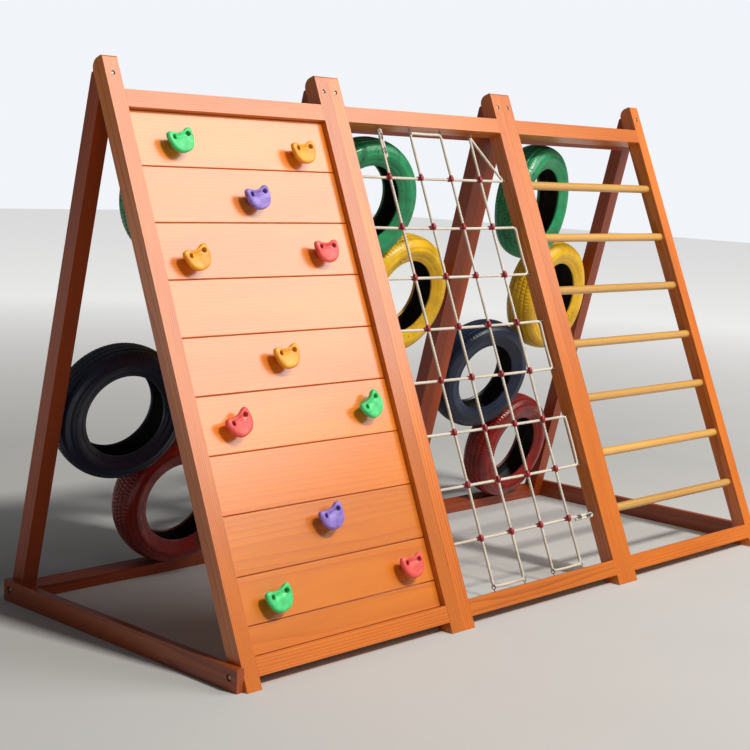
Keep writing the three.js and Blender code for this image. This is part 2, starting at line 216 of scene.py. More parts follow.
def stained_timber(name, grain, pale, deep, ring_gap, rough, coat, ring_share=0.55):
    """Varnished pine whose grain runs along the vector `grain`; pale and deep are its stain."""
    made, tree = new_material(name)
    place = shader(tree, "TexCoord")
    turned = grain.rotation_difference(Vector((0, 0, 1))).to_euler()
    lined_up = shader(tree, "Mapping", {"Vector": place.outputs["Object"], "Rotation": turned})
    each = shader(tree, "ObjectInfo")
    wood = shader(tree, "Group", {}, node_tree=pine_grain)
    tree.links.new(lined_up.outputs[0], wood.inputs["Vector"])
    tree.links.new(each.outputs["Random"], wood.inputs["Piece"])
    wood.inputs["Ring Gap"].default_value = ring_gap
    rings = maths(tree, "MULTIPLY", wood.outputs["Rings"], ring_share)
    fibres = maths(tree, "MULTIPLY", wood.outputs["Fibres"], 0.22)
    patches = maths(tree, "MULTIPLY", wood.outputs["Patches"], 0.30)
    dark = maths(tree, "ADD", maths(tree, "ADD", rings, fibres), patches, clamp=True)
    stain = blend(tree, dark, pale, deep)
    tone = spread(tree, each.outputs["Random"], 0.0, 1.0, 0.86, 1.10)
    toned = shader(tree, "HueSaturation", {"Color": stain, "Value": tone})
    surface = principled(
        tree,
        {
            "Coat Weight": coat,
            "Coat Roughness": 0.24,
            "Coat IOR": 1.7,
            "Specular IOR Level": 0.4,
        },
    )
    tree.links.new(toned.outputs[0], surface.inputs["Base Color"])
    dull = spread(tree, wood.outputs["Fibres"], 0.0, 1.0, rough - 0.05, rough + 0.08)
    tree.links.new(dull, surface.inputs["Roughness"])
    height = maths(tree, "ADD", maths(tree, "MULTIPLY", rings, 0.5), fibres)
    bump = shader(tree, "Bump", {"Height": height, "Strength": 0.35, "Distance": 0.0006})
    tree.links.new(bump.outputs[0], surface.inputs["Normal"])
    return made


PALE_STAIN = (0.740, 0.200, 0.016, 1)
DEEP_STAIN = (0.360, 0.062, 0.004, 1)
# Edge colours: paler than the stain, partly where it is worn thin and partly as a painted highlight.
WORN_AND_HIGHLIT_PALE = (0.800, 0.320, 0.070, 1)
WORN_AND_HIGHLIT_DEEP = (0.500, 0.130, 0.018, 1)


def dress_timber(nodes, grain, label, pale=PALE_STAIN, deep=DEEP_STAIN, varnish=0.6):
    """Eases the timbers' edges, paler there as worn stain and painted highlight, and stains them
    along their grain.
    """
    face = stained_timber(label, grain, pale, deep, 0.007, 0.34, varnish)
    worn_and_highlit = stained_timber(label + "_worn", grain, WORN_AND_HIGHLIT_PALE, WORN_AND_HIGHLIT_DEEP, 0.007, 0.46, varnish / 2)
    for name in nodes:
        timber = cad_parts[name]
        timber.data.materials.clear()
        timber.data.materials.append(face)
        timber.data.materials.append(worn_and_highlit)
        timber.data.set_sharp_from_angle(angle=SHARP)
        eased = timber.modifiers.new("eased_edges", "BEVEL")
        eased.width = EASED
        eased.segments = 3
        eased.limit_method = "ANGLE"
        eased.angle_limit = SHARP
        # The eased faces take the paler edge finish: wear, and a painted highlight.
        eased.material = 1


bays = (1, 2, 3)
dress_timber(
    [f"front_stile_{bay}_{side}" for bay in bays for side in ("left", "right")],
    UP_FRONT,
    "stile_pine",
)
dress_timber(
    [f"front_{where}_rail_{bay}" for bay in bays for where in ("top", "bottom")],
    ALONG,
    "rail_pine",
)

# Board wall: eight wide tongue-and-groove boards, a lower one and a narrow one at the foot, of
# stained pine. Their long edges are chamfered, so every joint is a fine V, and they lie 22 mm
# behind the frame's face on two upright battens.
BOARD_DEPTH = 0.022
BOARD_THICK = 0.020
BOARD_HIGH = 0.191
LOW_BOARD_HIGH = 0.152
WALL_TOP = 1.872
WALL_FOOT = 0.100
CHAMFER = 0.0030
CHAMFER_DEEP = 0.0020
JOINT_GAP = 0.0013
TONGUE_DEEP = 0.0075
TONGUE_SEAM = 0.0002
board_pine = stained_timber(
    "board_pine",
    ALONG,
    pale=(0.830, 0.240, 0.014, 1),
    deep=(0.560, 0.110, 0.006, 1),
    ring_gap=0.011,
    rough=0.32,
    coat=1.0,
    ring_share=0.34,
)


def add_piece(name, mesh, material, replaced=(), place=None):
    """Puts a finished mesh in the scene as a named piece that rides on the object."""
    if place is not None:
        mesh.transform(place)
    piece = bpy.data.objects.new(name, mesh)
    bpy.context.scene.collection.objects.link(piece)
    if material is not None:
        piece.data.materials.append(material)
    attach(piece, "root")
    if replaced:
        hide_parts(*replaced)
    return piece


def wrap(shape, lower, upper):
    """Joins two rings of points with a band of faces."""
    faces = []
    for i in range(len(lower)):
        j = (i + 1) % len(lower)
        faces.append(shape.faces.new((lower[i], lower[j], upper[j], upper[i])))
    return faces


def board_mesh(name, foot, head):
    """One board as its cross-section, drawn out along the wall."""
    section = [
        (foot + CHAMFER, BOARD_DEPTH),
        (head - CHAMFER, BOARD_DEPTH),
        (head - JOINT_GAP, BOARD_DEPTH + CHAMFER_DEEP),
        (head - JOINT_GAP, BOARD_DEPTH + TONGUE_DEEP),
        (head - TONGUE_SEAM, BOARD_DEPTH + TONGUE_DEEP),
        (head - TONGUE_SEAM, BOARD_DEPTH + BOARD_THICK),
        (foot + TONGUE_SEAM, BOARD_DEPTH + BOARD_THICK),
        (foot + TONGUE_SEAM, BOARD_DEPTH + TONGUE_DEEP),
        (foot + JOINT_GAP, BOARD_DEPTH + TONGUE_DEEP),
        (foot + JOINT_GAP, BOARD_DEPTH + CHAMFER_DEEP),
    ]
    shape = bmesh.new()
    ends = []
    for along in (TIMBER + FIT, BAY - TIMBER - FIT):
        ends.append([shape.verts.new(on_front(0, along, up, depth)) for up, depth in section])
    wrap(shape, *ends)
    shape.faces.new(ends[0][::-1])
    shape.faces.new(ends[1])
    bmesh.ops.recalc_face_normals(shape, faces=shape.faces)
    mesh = bpy.data.meshes.new(name)
    shape.to_mesh(mesh)
    shape.free()
    return mesh


heads = [WALL_TOP - BOARD_HIGH * i for i in range(9)]
heads.append(heads[-1] - LOW_BOARD_HIGH)
feet = heads[1:] + [WALL_FOOT]
for number, (head, foot) in enumerate(zip(heads, feet), start=1):
    name = f"board_{number:02d}"
    replaced = ("board_panel",) if number == 1 else ()
    plank = add_piece(name, board_mesh(name, foot, head), board_pine, replaced)
    soft_edge = plank.modifiers.new("eased_edges", "BEVEL")
    soft_edge.width = 0.0006
    soft_edge.segments = 2
dress_timber(["board_batten_left", "board_batten_right"], UP_FRONT, "batten_pine")

# Batten screws: zinc-plated screws through each batten, two into each of the taller boards and
# one into the narrow board at the foot.
SCREW_INSET = 0.0153
NARROW_BOARD = 0.1


def flecks(tree, scale, detail):
    """Noise fixed to the piece, as a value that wanders round one half."""
    place = shader(tree, "TexCoord")
    inputs = {"Vector": place.outputs["Object"], "Scale": scale, "Detail": detail}
    return shader(tree, "TexNoise", inputs).outputs[0]


def mottled(name, grain, colours, gloss, plain_sockets):
    """A finish that wanders between two colours and two roughnesses; grain is scale, detail."""
    made, tree = new_material(name)
    patches = flecks(tree, *grain)
    surface = principled(tree, plain_sockets)
    tree.links.new(blend(tree, patches, *colours), surface.inputs["Base Color"])
    tree.links.new(spread(tree, patches, 0.3, 0.7, *gloss), surface.inputs["Roughness"])
    return made


steel = mottled(
    "zinc_plate",
    (260.0, 4.0),
    [(0.42, 0.41, 0.39, 1), (0.24, 0.20, 0.17, 1)],
    (0.32, 0.6),
    {"Metallic": 1.0},
)


def turned_part(shape, outline, matrix, sides=24):
    """Adds a lathe-turned part: outline is (radius, height) from end to end on the axis."""
    rings = []
    for radius, height in outline:
        if radius == 0:
            rings.append([shape.verts.new(matrix @ Vector((0, 0, height)))])
            continue
        ring = []
        for i in range(sides):
            angle = 2 * math.pi * i / sides
            spot = Vector((radius * math.cos(angle), radius * math.sin(angle), height))
            ring.append(shape.verts.new(matrix @ spot))
        rings.append(ring)
    for lower, upper in zip(rings, rings[1:]):
        if len(lower) == len(upper):
            wrap(shape, lower, upper)
            continue
        for i in range(sides):
            j = (i + 1) % sides
            if len(lower) == 1:
                shape.faces.new((lower[0], upper[j], upper[i]))
            else:
                shape.faces.new((lower[i], lower[j], upper[0]))


def frame_at(spot, outward):
    """A matrix at `spot` whose Z axis points along `outward`."""
    return Matrix.Translation(spot) @ outward.to_track_quat("Z", "Y").to_matrix().to_4x4()


def mesh_of(name, shape, smooth_below=35):
    """Closes a bmesh into a mesh, shaded smooth except across sharper edges."""
    bmesh.ops.recalc_face_normals(shape, faces=shape.faces)
    mesh = bpy.data.meshes.new(name)
    shape.to_mesh(mesh)
    shape.free()
    for face in mesh.polygons:
        face.use_smooth = True
    mesh.set_sharp_from_angle(angle=math.radians(smooth_below))
    return mesh


SCREW = [(0, 0.0), (0.0012, 0.0), (0.0014, 0.0006), (0.0022, 0.0006), (0.0040, 0.0009)]
SCREW += [(0.0044, 0.0003), (0.0040, -0.0006), (0.0015, -0.0030), (0, -0.0030)]
screws = bmesh.new()
for head, foot in zip(heads, feet):
    shares = (0.25, 0.75) if head - foot > NARROW_BOARD else (0.5,)
    for along in (TIMBER + SCREW_INSET, BAY - TIMBER - SCREW_INSET):
        for share in shares:
            spot = on_front(0, along, foot + (head - foot) * share, TIMBER)
            turned_part(screws, SCREW[::-1], frame_at(spot, INTO_FRONT), sides=16)
add_piece("batten_screws", mesh_of("batten_screws", screws), steel)

# Climbing holds: cast resin, coloured right through. A round neck stands on the board and
# swells into a thick two-lobed head, with two deep recesses for its fixing bolts.
NECK = 0.025
BOLT_SIDE = 0.0300
BOLT_UP = 0.0125
RECESS = 0.0085
DISH_DEEP = 0.0050
DISH_UP = 0.010
DISH_HALF_HIGH = 0.0075
DISH_HALF_WIDE = 0.025
RIM = 0.85
MIDDLE_HEIGHT = 0.0430
AROUND_HOLD = 120
CURVE_STEPS = 60
# The right half of the head from the notch round to the jaw: start, pull and end of each curve
HALF_HEAD = [
    ((0, 0.0250), (0.0200, 0.0250), (0.0325, 0.0335)),
    ((0.0325, 0.0335), (0.0575, 0.0420), (0.0535, 0.0090)),
    ((0.0535, 0.0090), (0.0480, -0.0450), (0, -0.0450)),
]


def head_outline(count):
    """Angle and reach of points round the head: the right half's curves, and their mirror."""
    traced = []
    for start, pull, end in HALF_HEAD:
        for step in range(CURVE_STEPS):
            t = step / CURVE_STEPS
            x, y = [
                a * (1 - t) ** 2 + 2 * b * t * (1 - t) + c * t * t
                for a, b, c in zip(start, pull, end)
            ]
            angle, reach = math.atan2(x, y), math.hypot(x, y)
            traced += [(angle, reach), (-angle, reach)]
    traced.sort()
    reaches = []
    for i in range(count):
        angle = 2 * math.pi * i / count - math.pi
        nearest = min(traced, key=lambda point: abs(point[0] - angle))
        reaches.append((angle, nearest[1]))
    return reaches


# Height off the board, share of the full size, and share of the way from neck to head outline.
# A shallow dish runs from recess to recess inside the rim, round a middle that stays level.
hold_rings = [
    (0.0003, 1.02, 0.0),
    (0.0030, 1.0, 0.0),
    (0.0120, 1.0, 0.04),
    (0.0200, 1.0, 0.25),
    (0.0248, 1.0, 0.70),
    (0.0280, 1.0, 0.93),
    (0.0330, 1.0, 1.0),
    (0.0385, 1.0, 0.99),
    (0.0428, 0.96, 0.97),
    (0.0450, 0.89, 0.94),
    (0.0454, 0.80, 0.92),
    (0.0448, 0.70, 0.90),
    (0.0442, 0.59, 0.86),
    (0.0437, 0.48, 0.82),
    (0.0433, 0.37, 0.76),
    (0.0431, 0.26, 0.7),
    (0.0430, 0.14, 0.6),
]
hold_shape = bmesh.new()
rings = []
outline = head_outline(AROUND_HOLD)
for height, scale, share in hold_rings:
    ring = []
    for angle, reach in outline:
        radius = (NECK + (reach - NECK) * share) * scale
        x, y = radius * math.sin(angle), radius * math.cos(angle)
        fall_off = ((y - DISH_UP) / DISH_HALF_HIGH) ** 2 + (x / DISH_HALF_WIDE) ** 4
        dished = scale < RIM and height > MIDDLE_HEIGHT
        lowered = height - DISH_DEEP * math.exp(-fall_off) if dished else height
        ring.append(hold_shape.verts.new((-x, y, lowered)))
    rings.append(ring)
for lower, upper in zip(rings, rings[1:]):
    wrap(hold_shape, lower, upper)
hold_shape.faces.new(rings[0][::-1])
hold_shape.faces.new(rings[-1])
cast = bpy.data.objects.new("hold_casting", mesh_of("hold_casting", hold_shape, 60))
bpy.context.scene.collection.objects.link(cast)
drill_shape = bmesh.new()
POCKET = [(0, 0.026), (RECESS * 0.9, 0.026), (RECESS, 0.041), (RECESS + 0.002, 0.0480)]
POCKET += [(0, 0.0480)]
bolt_holes = [Matrix.Translation((side * BOLT_SIDE, BOLT_UP, 0)) for side in (-1, 1)]
for hole in bolt_holes:
    turned_part(drill_shape, POCKET, hole, sides=28)
drill = bpy.data.objects.new("hold_drill", mesh_of("hold_drill", drill_shape))
bpy.context.scene.collection.objects.link(drill)
rounding = cast.modifiers.new("rounding", "SUBSURF")
rounding.levels = rounding.render_levels = 1
cut = cast.modifiers.new("recesses", "BOOLEAN")
cut.operation = "DIFFERENCE"
cut.object = drill
cut.solver = "EXACT"
bpy.context.view_layer.update()
finished = cast.evaluated_get(bpy.context.evaluated_depsgraph_get())
hold_mesh = bpy.data.meshes.new_from_object(finished)
hold_mesh.materials.clear()
bpy.data.objects.remove(cast)
bpy.data.objects.remove(drill)
for face in hold_mesh.polygons:
    face.use_smooth = True
hold_mesh.set_sharp_from_angle(angle=math.radians(40))


def resin(name, bright, shadowed):
    """Cast resin: a fine sandy skin, a little paler where hands have rubbed it."""
    made, tree = new_material(name)
    sand = flecks(tree, 900.0, 2.0)
    rub = flecks(tree, 38.0, 3.0)
    colour = blend(tree, spread(tree, rub, 0.35, 0.68), bright, shadowed)
    surface = principled(tree, {"Specular IOR Level": 0.45})
    tree.links.new(colour, surface.inputs["Base Color"])
    tree.links.new(spread(tree, rub, 0.3, 0.7, 0.30, 0.50), surface.inputs["Roughness"])
    bump = shader(tree, "Bump", {"Height": sand, "Strength": 0.25, "Distance": 0.0005})
    tree.links.new(bump.outputs[0], surface.inputs["Normal"])
    return made


resins = {
    "green": resin("resin_green", (0.070, 0.680, 0.210, 1), (0.040, 0.500, 0.140, 1)),
    "orange": resin("resin_orange", (0.880, 0.400, 0.030, 1), (0.740, 0.280, 0.015, 1)),
    "purple": resin("resin_purple", (0.330, 0.220, 0.640, 1), (0.160, 0.095, 0.400, 1)),
    "red": resin("resin_red", (0.820, 0.120, 0.100, 1), (0.640, 0.060, 0.050, 1)),
}
# Colour, metres along the bay, metres up the slope, and degrees turned to the left
holds = [
    ("green", 0.235, 1.762, 13),
    ("orange", 0.778, 1.742, 7),
    ("purple", 0.512, 1.570, 11),
    ("orange", 0.190, 1.362, 18),
    ("red", 0.773, 1.380, 3),
    ("orange", 0.472, 1.018, 8),
    ("red", 0.204, 0.814, 24),
    ("green", 0.806, 0.822, 34),
    ("purple", 0.500, 0.473, 17),
    ("green", 0.200, 0.254, 12),
    ("red", 0.812, 0.260, 5),
]
wall_turn = Matrix((ALONG, UP_FRONT, -INTO_FRONT)).transposed().to_4x4()
bolts = bmesh.new()
HOLD_BOLT = [(0, 0.028), (0.0026, 0.028), (0.0030, 0.0310), (0.0056, 0.0310), (0.0064, 0.0303)]
HOLD_BOLT += [(0.0064, 0.0265), (0, 0.0265)]
for number, (colour, along, up, turn) in enumerate(holds, start=1):
    node = f"hold_{number:02d}_{colour}"
    on_board = Matrix.Translation(on_front(0, along, up, BOARD_DEPTH)) @ wall_turn
    seat = on_board @ Matrix.Rotation(math.radians(turn), 4, "Z")
    slot = "hold_" + colour
    add_piece(node + "_resin", hold_mesh.copy(), resins[colour], (node,), seat)
    for hole in bolt_holes:
        turned_part(bolts, HOLD_BOLT[::-1], seat @ hole, 12)
add_piece("hold_bolts", mesh_of("hold_bolts", bolts), steel)

# Rope net: one three-strand rope, 11.5 mm over the strands, laced down, up, down and up through
# screw eyes in the rails, then slantwise to the right stile and to and fro across the bay.
ROPE = 0.0115
LAY_LENGTH = 0.034
BEND = 0.016
BEND_STEPS = 6
ROPE_STEP = 0.006
LONG_RUN = 0.1
SLACK = (0.0015, 0.0045)
HANG = Vector((0, 0, -0.7))
EYE_STAND_OFF = 0.018
UP_DEPTH = 0.024
ACROSS_DEPTH = 0.036
CLEAR = BAY - 2 * TIMBER
columns = [TIMBER + CLEAR * (i + 1) / 5 for i in range(4)]
rows = [WALL_TOP - (WALL_TOP - WALL_FOOT) * (i + 1) / 9 for i in range(8)]
top_eye = WALL_TOP - EYE_STAND_OFF
foot_eye = WALL_FOOT + EYE_STAND_OFF
left_eye = TIMBER + EYE_STAND_OFF
right_eye = BAY - TIMBER - EYE_STAND_OFF
turns = []
for i, along in enumerate(columns):
    ends = (top_eye, foot_eye) if i % 2 == 0 else (foot_eye, top_eye)
    for up in ends:
        side = UP_FRONT if up == top_eye else -UP_FRONT
        turns.append((on_front(1, along, up, UP_DEPTH), side))
for i, up in enumerate(rows):
    ends = (right_eye, left_eye) if i % 2 == 0 else (left_eye, right_eye)
    for along in ends:
        side = ALONG if along == right_eye else -ALONG
        turns.append((on_front(1, along, up, ACROSS_DEPTH), side))

random.seed(11)
route = []
corners = [spot for spot, _ in turns]
for before, here, after in zip(corners, corners[1:], corners[2:]):
    back = (before - here).normalized()
    onward = (after - here).normalized()
    start, end = here + back * BEND, here + onward * BEND
    for i in range(BEND_STEPS + 1):
        t = i / BEND_STEPS
        route.append(start.lerp(here, t).lerp(here.lerp(end, t), t))
route = [corners[0]] + route + [corners[-1]]
rope_line = []
for before, after in zip(route, route[1:]):
    span = (after - before).length
    steps = max(1, round(span / ROPE_STEP))
    slack = 0.0 if span < LONG_RUN else random.uniform(*SLACK)
    sway = INTO_FRONT * random.uniform(-1, 1) + HANG
    for i in range(steps):
        t = i / steps
        sag = 4 * t * (1 - t) * slack
        rope_line.append(before.lerp(after, t) + sway * sag)
rope_line.append(route[-1])


def laid_rope(shape, line, thick, lay, strands=3, around=12):
    """Sweeps a rope of twisted strands along a line of points; no strands makes plain wire."""
    tangent = (line[1] - line[0]).normalized()
    side = tangent.orthogonal().normalized()
    turned = 0.0
    rings = []
    for i, spot in enumerate(line):
        ahead = line[min(i + 1, len(line) - 1)] - line[max(i - 1, 0)]
        ahead.normalize()
        side = (side - ahead * side.dot(ahead)).normalized()
        other = ahead.cross(side)
        if i:
            turned += 2 * math.pi * (spot - line[i - 1]).length / lay
        ring = []
        for k in range(around):
            angle = 2 * math.pi * k / around
            lobe = 0.86 + 0.14 * abs(math.cos(strands * angle / 2))
            radius = thick / 2 * lobe
            spun = angle + turned
            out = side * math.cos(spun) + other * math.sin(spun)
            ring.append(shape.verts.new(spot + out * radius))
        rings.append(ring)
    for lower, upper in zip(rings, rings[1:]):
        wrap(shape, lower, upper)
    shape.faces.new(rings[0][::-1])
    shape.faces.new(rings[-1])


net_rope, tree = new_material("net_rope")
yarn = flecks(tree, 420.0, 3.0)
soiled = spread(tree, flecks(tree, 7.0, 4.0), 0.42, 0.75, 0.0, 0.55)
clean = blend(tree, yarn, (0.780, 0.720, 0.610, 1), (0.560, 0.500, 0.400, 1))
shade = blend(tree, soiled, clean, (0.40, 0.33, 0.24, 1))
surface = principled(tree, {"Sheen Weight": 0.25, "Specular IOR Level": 0.2})
tree.links.new(shade, surface.inputs["Base Color"])
tree.links.new(spread(tree, yarn, 0.3, 0.7, 0.72, 0.92), surface.inputs["Roughness"])
bump = shader(tree, "Bump", {"Height": yarn, "Strength": 0.5, "Distance": 0.0008})
tree.links.new(bump.outputs[0], surface.inputs["Normal"])
rope_shape = bmesh.new()
laid_rope(rope_shape, rope_line, ROPE, LAY_LENGTH)
add_piece("laced_rope", mesh_of("laced_rope", rope_shape, 80), net_rope, ("net_rope",))

# Rope ends: at each end the rope goes round its eye and back beside itself, and is bound with
# tape in two places.
TAIL_BEND = 0.008
TAIL_STEPS = 17
BINDINGS_AT = (0.020, 0.078)
BAND = [(0, -0.013), (0.0050, -0.013), (0.0058, -0.011), (0.0058, 0.011), (0.0050, 0.013)]
BAND += [(0, 0.013)]
BAND_OVAL = 1.85
tails = bmesh.new()
bindings = bmesh.new()
for first, toward in ((corners[0], corners[1]), (corners[-1], corners[-2])):
    run = (toward - first).normalized()
    beside = run.cross(INTO_FRONT).normalized() * (ROPE * 0.98)
    line = []
    for i in range(9):
        angle = math.pi * i / 8
        across = beside * (1 - math.cos(angle)) / 2
        line.append(first + across - run * TAIL_BEND * math.sin(angle))
    for i in range(1, TAIL_STEPS + 1):
        line.append(first + beside + run * ROPE_STEP * i)
    laid_rope(tails, line, ROPE * 0.96, LAY_LENGTH)
    for away in BINDINGS_AT:
        middle = first + beside / 2 + run * away
        hoop = frame_at(middle, run)
        across = hoop.to_3x3().inverted() @ beside.normalized()
        turn_to = Matrix.Rotation(math.atan2(across.y, across.x), 4, "Z")
        flat = Matrix.Diagonal((BAND_OVAL, 1.0, 1.0, 1.0))
        turned_part(bindings, BAND, hoop @ turn_to @ flat)
add_piece("rope_tails", mesh_of("rope_tails", tails, 80), net_rope, ())
tape = mottled(
    "binding_tape",
    (160.0, 2.0),
    [(0.030, 0.032, 0.038, 1), (0.085, 0.088, 0.095, 1)],
    (0.35, 0.55),
    {},
)
add_piece("rope_bindings", mesh_of("rope_bindings", bindings), tape)

# Screw eyes: bent zinc-plated wire with a small collar against the timber, turned into the
# rails and stiles, one at every turn of the rope.
EYE_RADIUS = 0.0085
EYE_WIRE = 0.0032
EYE_STEPS = 32
EYE_MOUTH = 0.25
EYE_COLLAR = [(0, -0.0004), (0.0042, -0.0004), (0.0046, 0.0006), (0.0030, 0.0016), (0, 0.0016)]
eyes = bmesh.new()
for spot, side in turns:
    wall_spot = spot + side * EYE_STAND_OFF
    middle = spot + side * 0.001
    line = [middle + side * (EYE_RADIUS + 0.002)]
    for i in range(1, EYE_STEPS):
        angle = math.pi * 2 * i / EYE_STEPS + EYE_MOUTH
        out = side * math.cos(angle) + INTO_FRONT * math.sin(angle)
        line.append(middle + out * EYE_RADIUS)
    line.append(middle + side * EYE_RADIUS)
    line.append(middle + side * (EYE_RADIUS + 0.003))
    line.append(wall_spot + side * 0.004)
    laid_rope(eyes, line, EYE_WIRE, 10.0, strands=0, around=8)
    turned_part(eyes, EYE_COLLAR, frame_at(wall_spot, -side), 16)
add_piece("screw_eyes", mesh_of("screw_eyes", eyes, 60), steel)

# Cross connectors: two-part moulded plastic clips, one over every crossing, with a short
# sleeve along each rope.
SLEEVE_APART = 0.006
SLEEVE = [(0, -0.013), (0.0064, -0.013), (0.0072, -0.0118), (0.0072, 0.0118), (0.0064, 0.013)]
SLEEVE += [(0, 0.013)]
BOSS = [(0, -0.0136), (0.0060, -0.0136), (0.0084, -0.0115), (0.0090, 0.0), (0.0084, 0.0115)]
BOSS += [(0.0060, 0.0136), (0, 0.0136)]
clip_shape = bmesh.new()
for depth, axis in ((SLEEVE_APART, "X"), (-SLEEVE_APART, "Y")):
    laid_over = Matrix.Translation((0, 0, depth)) @ Matrix.Rotation(math.pi / 2, 4, axis)
    turned_part(clip_shape, SLEEVE, laid_over)
turned_part(clip_shape, BOSS, Matrix.Identity(4), 28)
clip = bpy.data.objects.new("clip_pattern", mesh_of("clip_pattern", clip_shape))
bpy.context.scene.collection.objects.link(clip)
skin = clip.modifiers.new("one_skin", "REMESH")
skin.mode = "VOXEL"
skin.voxel_size = 0.0011
skin.use_smooth_shade = True
soften = clip.modifiers.new("softened", "SMOOTH")
soften.iterations = 2
lighter = clip.modifiers.new("lighter", "DECIMATE")
lighter.ratio = 0.22
bpy.context.view_layer.update()
finished = clip.evaluated_get(bpy.context.evaluated_depsgraph_get())
clip_mesh = bpy.data.meshes.new_from_object(finished)
bpy.data.objects.remove(clip)
clips = bmesh.new()
for along in columns:
    for up in rows:
        middle = on_front(1, along, up, (UP_DEPTH + ACROSS_DEPTH) / 2)
        copy = clip_mesh.copy()
        copy.transform(Matrix.Translation(middle) @ wall_turn)
        clips.from_mesh(copy)
        bpy.data.meshes.remove(copy)
clip_plastic = mottled(
    "clip_plastic",
    (55.0, 3.0),
    [(0.400, 0.016, 0.032, 1), (0.190, 0.006, 0.014, 1)],
    (0.32, 0.5),
    {},
)
add_piece("net_clips", mesh_of("net_clips", clips, 60), clip_plastic)

# Ladder rungs: 35 mm pine dowels, let 25 mm into both stiles, stained paler than the frame and
# rubbed smooth by feet.
RUNG_RADIUS = 0.0175
rung_pine = stained_timber(
    "rung_pine",
    ALONG,
    pale=(0.700, 0.400, 0.100, 1),
    deep=(0.520, 0.230, 0.040, 1),
    ring_gap=0.006,
    rough=0.36,
    coat=0.3,
    ring_share=0.40,
)
for number in range(1, 8):
    node = f"rung_{number}"
    low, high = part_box(node)
    middle = (low + high) / 2
    dowel = bmesh.new()
    outline = [(0, -1.0), (RUNG_RADIUS * 0.97, -1.0)]
    for i in range(-24, 25):
        swell = 1 + 0.006 * math.sin(i * 0.7 + number)
        outline.append((RUNG_RADIUS * 0.985 * swell, i / 24.5))
    outline += [(RUNG_RADIUS * 0.97, 1.0), (0, 1.0)]
    half = (high.x - low.x) / 2
    outline = [(radius, share * half) for radius, share in outline]
    turned_part(dowel, outline, frame_at(middle, ALONG), 40)
    add_piece(node + "_dowel", mesh_of(node + "_dowel", dowel), rung_pine, (node,))

# Rear frames: the same square pine, leaning forward to meet the stiles, with a flat rail at
# the ground and one at the head to hang the tyres on.
REAR_LEAN = math.radians(13.2)
UP_REAR = Vector((0, -math.sin(REAR_LEAN), math.cos(REAR_LEAN)))
INTO_REAR = Vector((0, math.cos(REAR_LEAN), math.sin(REAR_LEAN)))
# Their stain is deeper and redder than the front frames', darkened as painted shade for the shadow
# of the wall that falls on them.
rear_stain_and_shade = {
    "pale": (0.440, 0.070, 0.008, 1),
    "deep": (0.150, 0.017, 0.003, 1),
    "varnish": 0.12,
}
dress_timber(
    [f"rear_leg_{bay}_{side}" for bay in bays for side in ("left", "right")],
    UP_REAR,
    "leg_pine",
    **rear_stain_and_shade,
)
dress_timber(
    [f"rear_{where}_rail_{bay}" for bay in bays for where in ("top", "bottom")],
    ALONG,
    "rear_rail_pine",
    **rear_stain_and_shade,
)

# Side rails: flat pine boards on edge, stained and thinly varnished. One lies on the ground at
# each end of the wall, bolted to the front and the rear foot.
# Their stain is as deep and dark as the rear frames', darkened as painted shade.
dress_timber(
    ["side_rail_left", "side_rail_right"],
    Vector((0, 1, 0)),
    "side_rail_pine",
    pale=(0.420, 0.080, 0.012, 1),
    deep=(0.170, 0.022, 0.003, 1),
    varnish=0.2,
)

# Tyres: worn small-car tyres, painted all over outside and near-black inside, partly as bare
# rubber and partly as painted shade of the hollow. The tread keeps its five ribs and cross cuts,
# and the walls their moulded rings.
TYRE_RADIUS = 0.2500
OUT_OF_ROUND = 0.0015
AROUND = 288
BLOCK = 3
BLOCK_STAGGER = (0, 2, 1, 3, 1)
CUT_DEEP = 0.0024
GROOVE_DEEP = 0.0042
GROOVE_WALL = 0.0008
RIB_EDGE_DEEP = 0.0010
HALF_TREAD = 0.055
CROWN_DROP = 0.0125
# Radius and distance from the middle: the side wall from bead to shoulder, then the ribs of the
# tread from edge to edge, and the inside of the wall from bead to crown
wall_line = [
    (0.1525, 0.0478),
    (0.1530, 0.0535),
    (0.1570, 0.0562),
    (0.1640, 0.0574),
    (0.1665, 0.0596),
    (0.1690, 0.0602),
    (0.1712, 0.0602),
    (0.1800, 0.0655),
    (0.1900, 0.0698),
    (0.1985, 0.0710),
    (0.1995, 0.0713),
    (0.2020, 0.0712),
    (0.2030, 0.0706),
    (0.2110, 0.0694),
    (0.2160, 0.0682),
    (0.2170, 0.0684),
    (0.2200, 0.0676),
    (0.2210, 0.0667),
    (0.2280, 0.0638),
    (0.2340, 0.0598),
]
ribs = [
    (-HALF_TREAD, -0.0352),
    (-0.0312, -0.0132),
    (-0.0092, 0.0092),
    (0.0132, 0.0312),
    (0.0352, HALF_TREAD),
]
lining = [
    (0.1560, 0.0440),
    (0.1700, 0.0480),
    (0.1900, 0.0590),
    (0.2100, 0.0610),
    (0.2300, 0.0560),
    (0.2390, 0.0400),
]


def crown(across):
    """The tread's slightly domed height at a distance from its middle."""
    return TYRE_RADIUS - CROWN_DROP * (abs(across) / HALF_TREAD) ** 2.4


